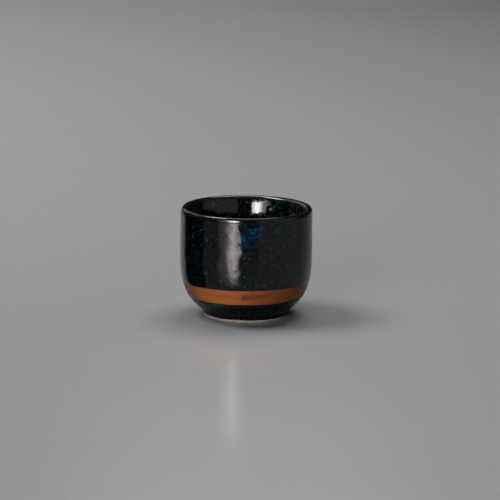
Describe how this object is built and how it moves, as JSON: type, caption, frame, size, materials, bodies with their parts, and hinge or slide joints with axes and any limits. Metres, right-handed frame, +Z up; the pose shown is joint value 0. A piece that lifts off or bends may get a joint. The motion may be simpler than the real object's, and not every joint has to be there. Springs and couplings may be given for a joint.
{
  "type": "sake cup",
  "caption": "Small footed sake cup for drinking: near-upright wall, rounded lip, dark speckled glaze inside and out, a rust-brown band low on the wall and a bare clay foot ring.",
  "frame": {"origin": "centre of the foot ring's resting face, on the table", "axes": "+Z up along the cup's axis; X and Y are equivalent, because the cup is turned"},
  "size_m": [0.058, 0.058, 0.048],
  "materials": {
    "bare_clay": "bare fired stoneware, fine grit, matte",
    "black_glaze": "glossy black glaze with fine blue and grey specks",
    "rust_glaze": "satin iron-rust glaze with horizontal brush streaks"
  },
  "bodies": {
    "root": {"clay_body": "bare_clay", "inner_glaze": "black_glaze", "outer_glaze": "black_glaze", "rust_band": "rust_glaze", "lower_glaze": "black_glaze", "base_glaze": "black_glaze"}
  },
  "joints": []
}
